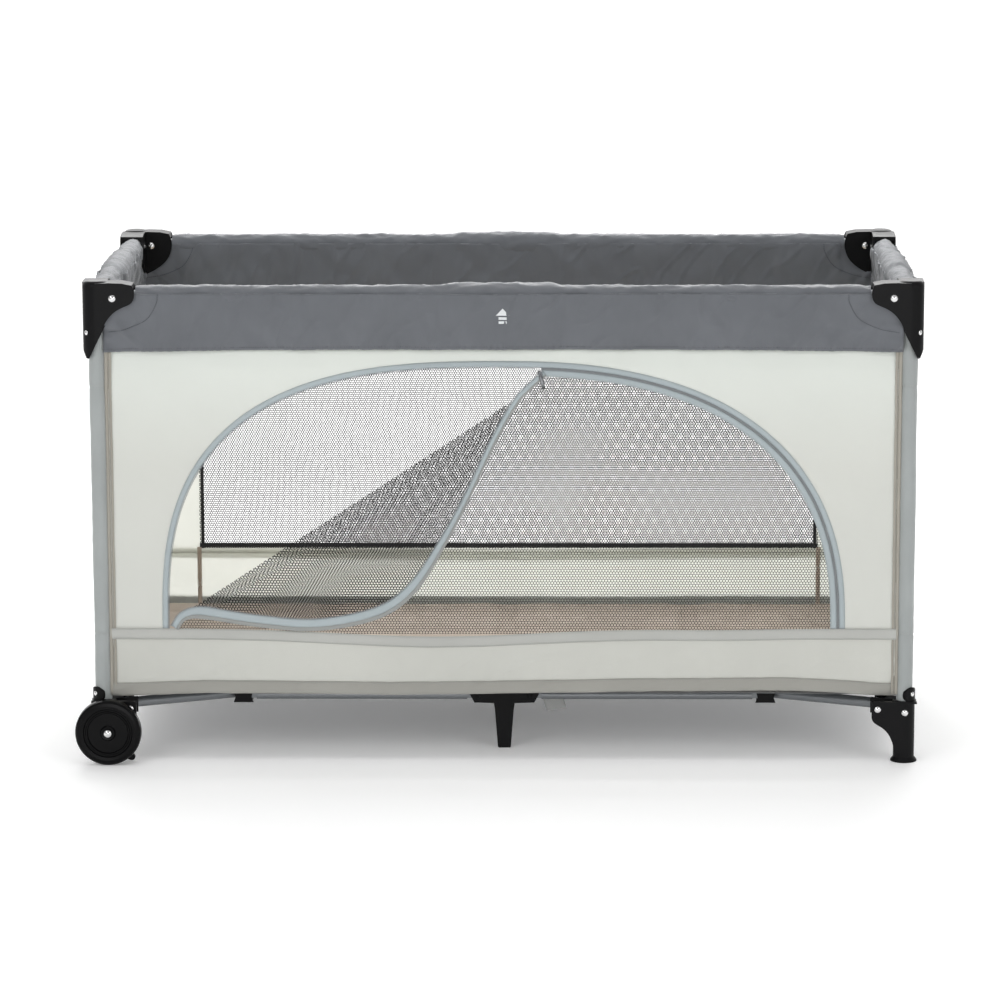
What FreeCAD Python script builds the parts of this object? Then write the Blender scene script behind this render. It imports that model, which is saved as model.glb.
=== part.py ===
import FreeCAD, Part
import math
import os

# A folding playpen with one zipped side door, two wheels and a padded top rail.
# Millimetres, +Z up, the front (door) side faces -Y.  The frame's middle is
# MID to the right of the origin, because the wheels stand out at the left end.

MID = 10.0            # frame centre in X
HALF_X = 606.0        # post axis to frame centre
HALF_Y = 305.0
POST_R = 11.0
POST_BOTTOM = 62.0
POST_TOP = 722.0
RAIL_Z = 709.0        # height of all top rail pivots
RAIL_R = 10.0
RAIL_PIVOT = 25.5     # post axis to rail pivot
LOCK_HALF = 56.0      # centre lock to its two pivots
FOOT_Z = 82.0         # height of all bottom pivots
FOOT_U = 34.0         # post axis to arm pivot, along X
FOOT_V = 27.0         # post axis to arm pivot, along Y
ARM_R = 8.0
LINK_R = 7.0
CLIP_AT = 180.0       # arm pivot to clip, along the arm
LINK_V = -16.5        # link plane in front of the clip's pivot
LEG_HALF = 39.0       # middle leg centre to its two pivots
PIN_R = 3.0
RUN = 0.05            # radial running clearance on every pin
WHEEL_R = 50.0
WHEEL_U = 9.0         # post axis to wheel axle, along X
CHEEK = 3.5

REACH = RAIL_PIVOT + LOCK_HALF
SPAN_X = HALF_X - REACH
SPAN_Y = HALF_Y - REACH
ARM = math.hypot(SPAN_X, SPAN_Y)
ANGLE = math.degrees(math.atan2(SPAN_Y, SPAN_X))
CU = math.cos(math.radians(ANGLE))
SU = math.sin(math.radians(ANGLE))
HUB_U = REACH - FOOT_U
HUB_V = REACH - FOOT_V
CLIP_SHIFT = REACH - LEG_HALF - FOOT_U
LINK = SPAN_X - CLIP_AT * CU
LEG_V = FOOT_V + CLIP_AT * SU + LINK_V

V = FreeCAD.Vector
X = V(1, 0, 0)
Y = V(0, 1, 0)
Z = V(0, 0, 1)


def box(x0, x1, y0, y1, z0, z1):
    return Part.makeBox(x1 - x0, y1 - y0, z1 - z0, V(x0, y0, z0))


def rod(start, direction, radius, length):
    return Part.makeCylinder(radius, length, start, direction)


def pipe(start, direction, radius, length, wall):
    outer = rod(start, direction, radius, length)
    return outer.cut(rod(start, direction, radius - wall, length))


def fuse(first, *others):
    shape = first
    for other in others:
        shape = shape.fuse(other)
    return shape.removeSplitter()


def outline(points, smooth):
    """Closed wire through (a, b) points; the ones from index smooth on are a curve."""
    pts = [V(a, 0, b) for a, b in points]
    edges = []
    for one, two in zip(pts[:smooth], pts[1:smooth + 1]):
        edges.append(Part.makeLine(one, two))
    curve = Part.BSplineCurve()
    curve.interpolate(pts[smooth:])
    edges.append(curve.toShape())
    edges.append(Part.makeLine(pts[-1], pts[0]))
    return Part.Wire(edges)


def plate_xz(points, y0, y1, smooth=None):
    """Plate with an outline in XZ, between y0 and y1."""
    if smooth is None:
        ring = [V(a, 0, b) for a, b in points]
        wire = Part.makePolygon(ring + [ring[0]])
    else:
        wire = outline(points, smooth)
    face = Part.Face(wire)
    face.translate(V(0, y0, 0))
    return face.extrude(V(0, y1 - y0, 0))


def swap_xy(shape):
    """The same shape for the other horizontal direction (mirror in x = y)."""
    return shape.mirror(V(0, 0, 0), V(1, -1, 0))


def at_corner(shape, sx, sy):
    """Take a shape made for the front left corner (post axis at the origin)."""
    if sx > 0:
        shape = shape.mirror(V(0, 0, 0), X)
    if sy > 0:
        shape = shape.mirror(V(0, 0, 0), Y)
    return shape.translated(V(MID + sx * HALF_X, sy * HALF_Y, 0))


def turned(shape, u, v):
    """Turn a shape made along X onto the arm's line and move it to (u, v)."""
    shape = shape.copy()
    shape.rotate(V(0, 0, 0), Z, ANGLE)
    return shape.translated(V(u, v, 0))


# ---- posts and their plastic ends -------------------------------------------

def post():
    return pipe(V(0, 0, POST_BOTTOM), Z, POST_R, POST_TOP - POST_BOTTOM, 1.4)


def corner_bracket():
    r = 20.5
    top = 734.0
    round_r = 9.0
    profile = [V(0, 0, 610), V(r, 0, 610), V(r, 0, top - round_r)]
    side = [Part.makeLine(profile[0], profile[1]), Part.makeLine(profile[1], profile[2])]
    mid = V(r - round_r + round_r * 0.7071, 0, top - round_r + round_r * 0.7071)
    end = V(r - round_r, 0, top)
    side.append(Part.Arc(profile[2], mid, end).toShape())
    side.append(Part.makeLine(end, V(0, 0, top)))
    side.append(Part.makeLine(V(0, 0, top), profile[0]))
    core = Part.Face(Part.Wire(side)).revolve(V(0, 0, 0), Z, 360)
    spear = [(-25, 740), (25, 740), (25, 690), (9, 657), (-11, 617), (-14.5, 618.5), (-25, 640)]
    core = core.common(plate_xz(spear, -30, 30)).common(swap_xy(plate_xz(spear, -30, 30)))
    flange = [(0, 643), (0, 731), (20, 732), (40, 731.5), (55, 728.5), (58.3, 719),
              (58.3, 711), (54.5, 702.5), (45, 697), (31, 690), (18, 677), (9.5, 659), (0, 643.2)]
    outer = plate_xz(flange[:-1], -r, -r + CHEEK, 4)
    roof_line = [(0, 721.5), (0, 731), (20, 732), (40, 731.5), (55, 728.5), (56.5, 721.5)]
    roof = plate_xz(roof_line, -r + 0.5, 16)
    inner_line = [(13, 731), (40, 731), (55, 728.5), (58.6, 718), (58.4, 704), (53.5, 690),
                  (43, 678), (28, 668), (13, 661)]
    inner = plate_xz(inner_line, 12.5, 16, 3)
    boss = rod(V(RAIL_PIVOT, -r + 1, RAIL_Z), Y, 8, r - 1 - 10.4)
    boss = boss.fuse(rod(V(RAIL_PIVOT, 10.4, RAIL_Z), Y, 8, 4))
    one_side = fuse(outer, roof, inner, boss)
    shape = fuse(core, one_side, swap_xy(one_side))
    slot = box(12.3, 70, -10.4, 10.4, 600, 721.4)
    bore = rod(V(0, 0, 600), Z, POST_R + RUN, POST_TOP - 600)
    sleeve_room = rod(V(0, 0, 600), Z, 12.8, 55)
    hole = rod(V(RAIL_PIVOT, -40, RAIL_Z), Y, PIN_R + RUN, 80)
    for cutter in (slot, swap_xy(slot), bore, sleeve_room, hole, swap_xy(hole)):
        shape = shape.cut(cutter)
    return shape.cut(side_screw_shank(657, 0.05)).removeSplitter()


def side_screw_shank(z, gap):
    direction = V(-1, -1, 0)
    return rod(V(-8.5, -8.5, z), direction, 1.6 + gap, 20)


def dome(centre, direction, radius, height):
    ball_r = (radius * radius + height * height) / (2 * height)
    ball = Part.makeSphere(ball_r, centre - direction * (ball_r - height))
    return ball.common(rod(centre, direction, radius, height + 1))


def arm_sockets():
    """Cheeks and web that carry the bottom arm, along the arm's line."""
    cheek = box(-20, 12, 8.5, 12, FOOT_Z - 13, FOOT_Z + 11)
    web = box(-36, -9, -12, 12, FOOT_Z - 13, FOOT_Z + 11)
    shape = fuse(cheek, box(-20, 12, -12, -8.5, FOOT_Z - 13, FOOT_Z + 11), web)
    return turned(shape, FOOT_U, FOOT_V)


def arm_pin_hole(gap):
    return turned(rod(V(0, -30, FOOT_Z), Y, PIN_R + gap, 60), FOOT_U, FOOT_V)


def leaf_tab():
    diagonal = V(-1, -1, 0)
    disc = rod(V(-5, -5, 103.5), diagonal, 12, 16)
    ring = pipe(V(0, 0, 85), Z, 16.4, 45, 3.6)
    return disc.common(ring)


def leg_common(panel):
    leg_top = 95.0
    shape = fuse(panel, arm_sockets(), leaf_tab())
    lip = box(-18, 50, -17, -10, 91, 94)
    lip = fuse(lip, pipe(V(0, 0, 90), Z, 18.2, 4.5, 4))
    return fuse(shape, lip.common(box(-30, 60, -30, 30, 60, leg_top)))


def foot():
    line = [(0, 14), (0, 93), (50, 93), (50, 71), (47.5, 63), (37, 55.5), (27, 47),
            (20.5, 36), (17, 25), (16, 14.5)]
    panel = plate_xz(line, -16, -16 + CHEEK, 3)
    leg = rod(V(0, 0, 3), Z, 16, 91)
    flare = Part.makeCone(20, 16, 5, V(0, 0, 2), Z)
    base = rod(V(0, 0, 0), Z, 20, 2)
    shape = leg_common(fuse(panel, leg, flare, base))
    return bored(shape, 60)


def wheel_bracket():
    line = [(0, 22), (0, 93), (50, 93), (50, 71), (48, 50), (44, 30), (42, 16),
            (47, 6), (45, 3), (36, 4), (22, 12), (10, 20)]
    panel = plate_xz(line, -16, -16 + CHEEK + 3, 3)
    leg = rod(V(0, 0, 24), Z, 16, 70)
    boss = rod(V(WHEEL_U, -18.6, WHEEL_R), Y, 11, 12)
    shape = leg_common(fuse(panel, leg, boss))
    shape = shape.cut(rod(V(WHEEL_U, -30, WHEEL_R), Y, 4 + RUN, 40))
    return bored(shape, 60)


def bored(shape, bottom):
    bore = rod(V(0, 0, bottom), Z, POST_R + RUN, 80)
    clear = turned(box(-8.7, 40, -8.4, 8.4, FOOT_Z - 14, 130), FOOT_U, FOOT_V)
    rivet = rod(V(0, -30, 77), Y, 2.5 + RUN, 22)
    front = rod(V(41, -30, FOOT_Z), Y, 2.5 + RUN, 22)
    for cutter in (bore, clear, arm_pin_hole(RUN), rivet, front, side_screw_shank(105, 0.05)):
        shape = shape.cut(cutter)
    return shape.removeSplitter()


def pins(wheeled):
    """Every rivet, pin and screw that sits on one post."""
    found = []
    rail_pin = rod(V(RAIL_PIVOT, -20.5, RAIL_Z), Y, PIN_R, 36.5)
    rail_pin = rail_pin.fuse(dome(V(RAIL_PIVOT, -20.5, RAIL_Z), V(0, -1, 0), 5.2, 2.2))
    rail_pin = rail_pin.fuse(dome(V(RAIL_PIVOT, 16, RAIL_Z), V(0, 1, 0), 5.2, 2.2))
    found += [rail_pin, swap_xy(rail_pin)]
    outward = V(-0.70710678, -0.70710678, 0)
    for z, radius in ((657.0, 20.5), (105.0, 16.4)):
        start = outward * 13.0
        screw = rod(V(start.x, start.y, z), outward, 1.6, radius - 13.0)
        head = outward * radius
        found.append(screw.fuse(dome(V(head.x, head.y, z), outward, 3.6, 1.4)))
    arm_pin = rod(V(0, -12, FOOT_Z), Y, PIN_R, 24)
    arm_pin = arm_pin.fuse(dome(V(0, 12, FOOT_Z), Y, 5, 2))
    arm_pin = arm_pin.fuse(dome(V(0, -12, FOOT_Z), V(0, -1, 0), 5, 2))
    found.append(turned(arm_pin, FOOT_U, FOOT_V))
    if wheeled:
        axle = rod(V(WHEEL_U, -44.5, WHEEL_R), Y, 4, 33)
        found.append(axle.fuse(dome(V(WHEEL_U, -44.5, WHEEL_R), V(0, -1, 0), 5.6, 2.3)))
        found.append(rivet_at(41.0, FOOT_Z, CHEEK + 3))
    else:
        found.append(rivet_at(41.0, FOOT_Z, CHEEK))
        found.append(rivet_at(0.0, 77.0, 4.9))
    return Part.makeCompound(found)


def rivet_at(u, z, depth):
    shank = rod(V(u, -16, z), Y, 2.5, depth)
    return shank.fuse(dome(V(u, -16, z), V(0, -1, 0), 4.8, 2))


def wheel():
    r = WHEEL_R
    front = -43.5
    back = -19.0
    line = [(4 + RUN, front + 2), (10, front + 1), (12, front + 3.5), (30, front + 3.5),
            (31.5, front + 1), (33, front + 1), (34, front + 2.6), (36, front + 2.6),
            (37.5, front + 0.6), (42, front), (46.5, front + 0.8), (49.2, front + 3.2),
            (r, front + 7), (r, back - 7), (49, back - 2.5), (46, back), (12, back),
            (4 + RUN, back)]
    ring = [V(a, b, 0) for a, b in line]
    shape = Part.Face(Part.makePolygon(ring + [ring[0]])).revolve(V(0, 0, 0), Y, 360)
    return shape.translated(V(WHEEL_U, 0, WHEEL_R))


# ---- top rails and centre locks ---------------------------------------------

def rail(span):
    """Rail half along +X from its post pivot to its lock pivot, with eyes at both ends."""
    start = V(RAIL_PIVOT + 7, 0, RAIL_Z)
    shape = pipe(start, X, RAIL_R, span - 14, 1.4)
    for u in (RAIL_PIVOT, RAIL_PIVOT + span):
        shape = shape.fuse(rod(V(u, -8, RAIL_Z), Y, RAIL_R, 16))
        inner = 4 if u == RAIL_PIVOT else -14
        shape = shape.fuse(box(u + inner, u + inner + 10, -7.5, 7.5, RAIL_Z - 4, RAIL_Z + 4))
    for u in (RAIL_PIVOT, RAIL_PIVOT + span):
        shape = shape.cut(rod(V(u, -20, RAIL_Z), Y, PIN_R + RUN, 40))
    return shape.removeSplitter()


def centre_lock():
    """Lock housing around the origin, along X, with a pocket for its button."""
    cheek = [(-70, -9), (-70, 6), (-62, 11), (62, 11), (70, 6), (70, -9), (66, -11), (-66, -11)]
    front = plate_xz(cheek, -13.5, -10.3)
    back = plate_xz(cheek, 10.3, 13.5)
    shape = fuse(front, back, box(-45.4, 45.4, -10.4, 10.4, -11, 11))
    for u in (-LOCK_HALF, LOCK_HALF):
        shape = shape.fuse(rod(V(u, -13.5, 0), Y, PIN_R, 27))
    pocket = box(-20.4, 20.4, -8.4, 8.4, -12, 2)
    return shape.cut(pocket).removeSplitter()


def lock_button():
    pad = box(-20, 20, -8, 8, -10.5, -4.5)
    finger = box(-15, 15, -6, 6, -14, -10)
    return fuse(pad, finger)


# ---- bottom arms, clips, links, middle legs, hub ------------------------------

def arm():
    shape = pipe(V(6, 0, FOOT_Z), X, ARM_R, ARM - 12, 1.3)
    for s in (0, ARM):
        shape = shape.fuse(rod(V(s, -8, FOOT_Z), Y, ARM_R, 16))
        inner = 3 if s == 0 else -11
        shape = shape.fuse(box(s + inner, s + inner + 8, -6, 6, FOOT_Z - 3.2, FOOT_Z + 3.2))
    for s in (0, CLIP_AT, ARM):
        shape = shape.cut(rod(V(s, -20, FOOT_Z), Y, PIN_R + RUN, 40))
    return turned(shape, FOOT_U, FOOT_V)


def clip():
    """Clip that keeps level: a pin through the arm and a fork for the link."""
    cu = FOOT_U + CLIP_AT * CU
    cv = FOOT_V + CLIP_AT * SU
    near = -8.5 / CU
    slope = SU / CU
    wedge = [V(-7, -13.2, -11), V(20, -13.2, -11), V(20, near + 20 * slope, -11),
             V(-7, near - 7 * slope, -11)]
    face = Part.Face(Part.makePolygon(wedge + [wedge[0]]))
    shape = face.extrude(V(0, 0, 20))
    pin = rod(V(0, -11, 0), Y, PIN_R, 21.5)
    pin = pin.fuse(rod(V(0, 8.5, 0), Y, 6.5, 2))
    pin.rotate(V(0, 0, 0), Z, ANGLE)
    waist = [(-9, -11), (-6, -3), (-9, 7), (21, 7), (18.5, -3), (22, -11)]
    front = plate_xz(waist, -23.2, -20.2)
    bridge = box(-7, 20, -21, -12, -11, -7.6)
    link_pin = rod(V(CLIP_SHIFT, -21, 0), Y, PIN_R, 9)
    shape = fuse(shape, pin, front, bridge, link_pin)
    return shape.translated(V(cu, cv, FOOT_Z))


def link():
    u0 = FOOT_U + CLIP_AT * CU + CLIP_SHIFT
    v0 = FOOT_V + CLIP_AT * SU + LINK_V
    shape = pipe(V(u0 + 18, v0, FOOT_Z), X, LINK_R, LINK - 36, 1.2)
    for s, way in ((0, 1), (LINK, -1)):
        eye = rod(V(u0 + s, v0 - 3, FOOT_Z), Y, LINK_R, 6)
        far = s + way * 26
        low, high = min(s, far), max(s, far)
        tongue = box(u0 + low, u0 + high, v0 - 3, v0 + 3, FOOT_Z - 5, FOOT_Z + 5)
        shape = fuse(shape, eye, tongue)
    for s in (0, LINK):
        shape = shape.cut(rod(V(u0 + s, v0 - 20, FOOT_Z), Y, PIN_R + RUN, 40))
    return shape.removeSplitter()


def middle_leg():
    """T-shaped leg about its own centre line, pivots at z = FOOT_Z."""
    plate = [(-53, 84), (-53, 94), (-49, 96), (49, 96), (53, 94), (53, 84), (46, 71),
             (16, 70), (14.5, 60), (10, 1.5), (8.5, 0), (-8.5, 0), (-10, 1.5), (-14.5, 60),
             (-16, 70), (-46, 71)]
    front = plate_xz(plate, -6.8, -3.6)
    bar = [(-53, 84), (-53, 94), (-49, 96), (49, 96), (53, 94), (53, 84), (46, 71), (-46, 71)]
    back = plate_xz(bar, 3.6, 6.8)
    stem = [(-15, 71), (-15, 96), (15, 96), (15, 71), (13, 60), (9, 1.5), (8, 0), (-8, 0),
            (-9, 1.5), (-13, 60)]
    core = plate_xz(stem, -5, 6.8)
    roof = box(-49, 49, -6, 6, 92.6, 96)
    shape = fuse(front, back, core, roof)
    for u in (-LEG_HALF, LEG_HALF):
        shape = shape.fuse(rod(V(u, -6.8, FOOT_Z), Y, PIN_R, 13.6))
        shape = shape.fuse(dome(V(u, -6.8, FOOT_Z), V(0, -1, 0), 4.8, 2))
    return shape.removeSplitter()


def hub():
    """Centre hub about the origin; one forked socket per arm."""
    plate = box(-30, 30, -34, 34, -10, 12)
    shape = plate.fuse(box(-17, 17, -42, 42, -10, 12))
    for sx in (-1, 1):
        for sy in (-1, 1):
            socket = box(9, 34, -11.5, 11.5, -10, 12)
            for v0 in (-11.5, 8.5):
                socket = socket.fuse(box(-12, 12, v0, v0 + 3, -10, 12))
            socket = socket.fuse(rod(V(0, -11.5, 0), Y, PIN_R, 23))
            socket = turned(socket, -HUB_U, -HUB_V)
            if sx > 0:
                socket = socket.mirror(V(0, 0, 0), X)
            if sy > 0:
                socket = socket.mirror(V(0, 0, 0), Y)
            shape = shape.fuse(socket)
    return shape.removeSplitter().translated(V(MID, 0, FOOT_Z))


# ---- soft parts as simple closed solids ---------------------------------------

WALL_LOW = 106.0
WALL_TOP = 625.0
DOOR_OPEN = [(-462, 242), (-478, 300), (-447, 412), (-394, 505), (-311, 567), (-202, 596),
             (-34, 600), (28, 590), (19, 566)]


def long_wall(side, door):
    half = HALF_X - 13.5
    y = side * HALF_Y
    shape = box(MID - half, MID + half, y - 1.5, y + 1.5, WALL_LOW, WALL_TOP)
    if door:
        line = [(MID + a, b) for a, b in DOOR_OPEN]
        shape = shape.cut(plate_xz(line, y - 5, y + 5))
    return shape


def end_wall(side):
    half = HALF_Y - 13.5
    x = MID + side * HALF_X
    return box(x - 1.5, x + 1.5, -half, half, WALL_LOW, WALL_TOP)


def rail_cover(length):
    """Padded cover round a rail pair, along X about the rail line, with its hanging band."""
    half = length / 2
    shape = rod(V(-half, 0, 0), X, 16.5, length)
    shape = fuse(shape, rod(V(-82, 0, 0), X, 19.6, 164),
                 box(-half, half, -6, 6, 627 - RAIL_Z, -10))
    shape = shape.cut(rod(V(-half - 1, 0, 0), X, 10.6, length + 2))
    return shape.cut(rod(V(-76, 0, 0), X, 17.9, 152)).removeSplitter()


def floor_half(side):
    inner = 0.5
    outer = HALF_X - 8
    x0, x1 = sorted((MID + side * inner, MID + side * outer))
    wide = HALF_Y - 22
    shape = box(x0, x1, -wide, wide, 98, 101)
    return shape


def mattress():
    shape = box(MID - 586, MID + 586, -285, 285, 103, 119)
    upright = [e for e in shape.Edges if abs(e.Vertexes[0].Z - e.Vertexes[1].Z) > 15]
    return shape.makeFillet(20, upright)


# ---- the whole object ---------------------------------------------------------

SIDES = {"front": -1, "back": 1, "left": -1, "right": 1}


def every_part():
    parts = {}
    for end in ("left", "right"):
        for side in ("front", "back"):
            sx, sy = SIDES[end], SIDES[side]
            corner = side + "_" + end
            parts["post_" + corner] = at_corner(post(), sx, sy)
            parts["corner_bracket_" + corner] = at_corner(corner_bracket(), sx, sy)
            parts["pins_" + corner] = at_corner(pins(end == "left"), sx, sy)
            parts["rail_" + side + "_" + end] = at_corner(rail(SPAN_X), sx, sy)
            parts["rail_" + end + "_" + side] = at_corner(swap_xy(rail(SPAN_Y)), sx, sy)
            parts["arm_" + corner] = at_corner(arm(), sx, sy)
            parts["clip_" + corner] = at_corner(clip(), sx, sy)
            parts["link_" + corner] = at_corner(link(), sx, sy)
            if end == "left":
                parts["wheel_bracket_" + side] = at_corner(wheel_bracket(), sx, sy)
                parts["wheel_" + side] = at_corner(wheel(), sx, sy)
            else:
                parts["foot_" + side] = at_corner(foot(), sx, sy)
    for side in ("front", "back"):
        y = SIDES[side] * HALF_Y
        here = V(MID, y, RAIL_Z)
        parts["lock_" + side] = centre_lock().translated(here)
        parts["lock_button_" + side] = lock_button().translated(here)
        parts["cover_" + side] = rail_cover(2 * (HALF_X - 60)).translated(here)
        parts["wall_" + side] = long_wall(SIDES[side], side == "front")
        leg = middle_leg()
        if side == "back":
            leg = leg.mirror(V(0, 0, 0), Y)
        leg_y = SIDES[side] * (HALF_Y - LEG_V)
        parts["middle_leg_" + side] = leg.translated(V(MID, leg_y, 0))
    for end in ("left", "right"):
        here = V(MID + SIDES[end] * HALF_X, 0, RAIL_Z)
        parts["lock_" + end] = swap_xy(centre_lock()).translated(here)
        parts["lock_button_" + end] = swap_xy(lock_button()).translated(here)
        parts["cover_" + end] = swap_xy(rail_cover(2 * (HALF_Y - 60))).translated(here)
        parts["wall_" + end] = end_wall(SIDES[end])
        parts["floor_" + end] = floor_half(SIDES[end])
    parts["hub"] = hub()
    parts["mattress"] = mattress()
    return parts


os.makedirs("parts", exist_ok=True)
for name, shape in sorted(every_part().items()):
    shape.exportStep("parts/" + name + ".step")
    print(name, len(shape.Solids), shape.isValid(), round(shape.Volume / 1000, 1))
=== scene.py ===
import math
import bpy
import bmesh
from mathutils import Vector, Matrix, noise
from mathutils.geometry import delaunay_2d_cdt


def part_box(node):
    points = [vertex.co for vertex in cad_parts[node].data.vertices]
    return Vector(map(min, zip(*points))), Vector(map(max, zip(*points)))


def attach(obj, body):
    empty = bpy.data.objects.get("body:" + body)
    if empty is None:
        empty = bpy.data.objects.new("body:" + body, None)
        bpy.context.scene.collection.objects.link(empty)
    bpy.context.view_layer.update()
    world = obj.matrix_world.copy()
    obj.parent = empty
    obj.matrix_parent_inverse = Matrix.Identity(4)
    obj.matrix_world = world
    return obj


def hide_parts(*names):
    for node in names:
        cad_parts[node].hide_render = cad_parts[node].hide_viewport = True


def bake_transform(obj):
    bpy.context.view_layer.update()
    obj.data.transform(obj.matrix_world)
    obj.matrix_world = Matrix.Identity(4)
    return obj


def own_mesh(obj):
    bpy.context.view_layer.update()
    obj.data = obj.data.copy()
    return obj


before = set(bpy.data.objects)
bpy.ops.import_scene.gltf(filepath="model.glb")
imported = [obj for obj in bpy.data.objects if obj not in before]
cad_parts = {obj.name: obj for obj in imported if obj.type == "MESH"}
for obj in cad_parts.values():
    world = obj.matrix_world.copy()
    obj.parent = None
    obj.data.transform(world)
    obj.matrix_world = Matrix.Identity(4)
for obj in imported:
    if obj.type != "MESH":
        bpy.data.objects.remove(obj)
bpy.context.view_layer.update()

MID = 0.010
HALF = {"x": 0.606, "y": 0.305}
RAIL_Z = 0.709
SLEEVE_R = 0.0124
BODY = {"front": "corner_front_left", "left": "corner_front_left",
        "back": "corner_back_left", "right": "corner_front_right"}
scene = bpy.context.scene


# ---- places on the four sides

def on_side(side, s, n, z):
    """s along the side from its middle, n outward from the post line, z up."""
    if side == "front":
        return Vector((MID + s, -HALF["y"] - n, z))
    if side == "back":
        return Vector((MID + s, HALF["y"] + n, z))
    if side == "left":
        return Vector((MID - HALF["x"] - n, s, z))
    return Vector((MID + HALF["x"] + n, s, z))


def half_of(side):
    return HALF["x"] if side in ("front", "back") else HALF["y"]


def outward_of(side):
    """Unit vector that points away from the middle on this side."""
    return on_side(side, 0, 1, 0) - on_side(side, 0, 0, 0)


def along_side(half, at):
    """Points every 3 mm along one side, from one end to the other; at(s) gives each."""
    return [at(-half + 0.003 * k) for k in range(int(2 * half / 0.003) + 1)]


def soft_noise(x, y, seed):
    return noise.noise(Vector((x, y, seed * 7.31)))


def crease(x, y, seed):
    """A few narrow soft ridges on an otherwise calm surface."""
    return max(0.0, 1.0 - abs(soft_noise(x, y, seed)) * 5.0) ** 2


def smooth(a, b, x):
    """0 at a, 1 at b, with a soft start and end."""
    t = min(max((x - a) / (b - a), 0.0), 1.0)
    return t * t * (3 - 2 * t)


# ---- node materials

def new_material(name):
    m = bpy.data.materials.new(name)
    m.use_nodes = True
    nt = m.node_tree
    shader = nt.nodes["Principled BSDF"]
    return m, nt, shader


def settings(shader, **values):
    """Constants on a shader's sockets; an underscore in a name stands for a space."""
    for key, value in values.items():
        shader.inputs[key.replace("_", " ")].default_value = value


def math_node(nt, op, a, b=None, clamp=False):
    n = nt.nodes.new("ShaderNodeMath")
    n.operation = op
    n.use_clamp = clamp
    for i, v in enumerate((a, b)):
        if v is None:
            continue
        if isinstance(v, (int, float)):
            n.inputs[i].default_value = v
        else:
            nt.links.new(v, n.inputs[i])
    return n.outputs[0]


def position(nt):
    """The point's own coordinates, whole and split into X, Y and Z."""
    coord = nt.nodes.new("ShaderNodeTexCoord")
    split = nt.nodes.new("ShaderNodeSeparateXYZ")
    nt.links.new(coord.outputs["Object"], split.inputs[0])
    return coord.outputs["Object"], split


def mix_colour(nt, fac, a, b):
    n = nt.nodes.new("ShaderNodeMix")
    n.data_type = "RGBA"
    nt.links.new(fac, n.inputs["Factor"])
    for socket, v in ((n.inputs[6], a), (n.inputs[7], b)):
        if isinstance(v, tuple):
            socket.default_value = (*v, 1)
        else:
            nt.links.new(v, socket)
    return n.outputs[2]


def noise_tex(nt, vector, scale, detail=3.0, rough=0.5):
    n = nt.nodes.new("ShaderNodeTexNoise")
    n.inputs["Scale"].default_value = scale
    n.inputs["Detail"].default_value = detail
    n.inputs["Roughness"].default_value = rough
    nt.links.new(vector, n.inputs["Vector"])
    return n.outputs["Fac"]


def ramp(nt, fac, low, high):
    n = nt.nodes.new("ShaderNodeMapRange")
    n.inputs["From Min"].default_value = low
    n.inputs["From Max"].default_value = high
    nt.links.new(fac, n.inputs["Value"])
    return n.outputs[0]


def bump(nt, shader, height, strength, distance):
    """Small relief, distance in metres."""
    n = nt.nodes.new("ShaderNodeBump")
    n.inputs["Strength"].default_value = strength
    n.inputs["Distance"].default_value = distance
    nt.links.new(height, n.inputs["Height"])
    nt.links.new(n.outputs[0], shader.inputs["Normal"])


def cloth(name, colour, pitch=0.0009, depth=0.0002, rough=0.82, sheen=0.25, spread=0.10,
          cloudy=6.0, through=0.0, strength=0.5, rise=0.0):
    """Plain woven cloth: two crossing sets of threads, cloudy shade, fine slubs, and, with rise, a
    painted glow of light that makes it paler with height.
    """
    m, nt, shader = new_material(name)
    place, split = position(nt)
    along = math_node(nt, "ADD", split.outputs["X"], split.outputs["Y"])
    k = 2 * math.pi / pitch
    warp = math_node(nt, "SINE", math_node(nt, "MULTIPLY", along, k))
    weft = math_node(nt, "SINE", math_node(nt, "MULTIPLY", split.outputs["Z"], k))
    threads = math_node(nt, "MULTIPLY", warp, weft)
    slub = noise_tex(nt, place, 900.0, 2.0)
    height = math_node(nt, "ADD", threads, math_node(nt, "MULTIPLY", slub, 1.4))
    clouds = ramp(nt, noise_tex(nt, place, cloudy, 4.0), 0.3, 0.7)
    dark = tuple(c * (1 - spread) for c in colour)
    light = tuple(min(c * (1 + spread), 1.0) for c in colour)
    shade = mix_colour(nt, clouds, dark, light)
    fleck = math_node(nt, "MULTIPLY", ramp(nt, slub, 0.35, 0.65), 0.35)
    shade = mix_colour(nt, fleck, shade, dark)
    # Painted light: with rise the colour is mixed towards a pale bluish white from 0.45 m to 0.64 m up,
    # a painted glow of light near the top of the cloth.
    if rise > 0:
        up = math_node(nt, "MULTIPLY", ramp(nt, split.outputs["Z"], 0.45, 0.64), rise)
        shade = mix_colour(nt, up, shade, (0.86, 0.905, 0.87))
    nt.links.new(shade, shader.inputs["Base Color"])
    settings(shader, Roughness=rough, Sheen_Weight=sheen, Specular_IOR_Level=0.25)
    bump(nt, shader, height, strength, depth)
    if through > 0:
        glow = nt.nodes.new("ShaderNodeBsdfTranslucent")
        nt.links.new(shade, glow.inputs["Color"])
        both = nt.nodes.new("ShaderNodeMixShader")
        both.inputs[0].default_value = through
        nt.links.new(shader.outputs[0], both.inputs[1])
        nt.links.new(glow.outputs[0], both.inputs[2])
        nt.links.new(both.outputs[0], nt.nodes["Material Output"].inputs["Surface"])
    return m


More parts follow.
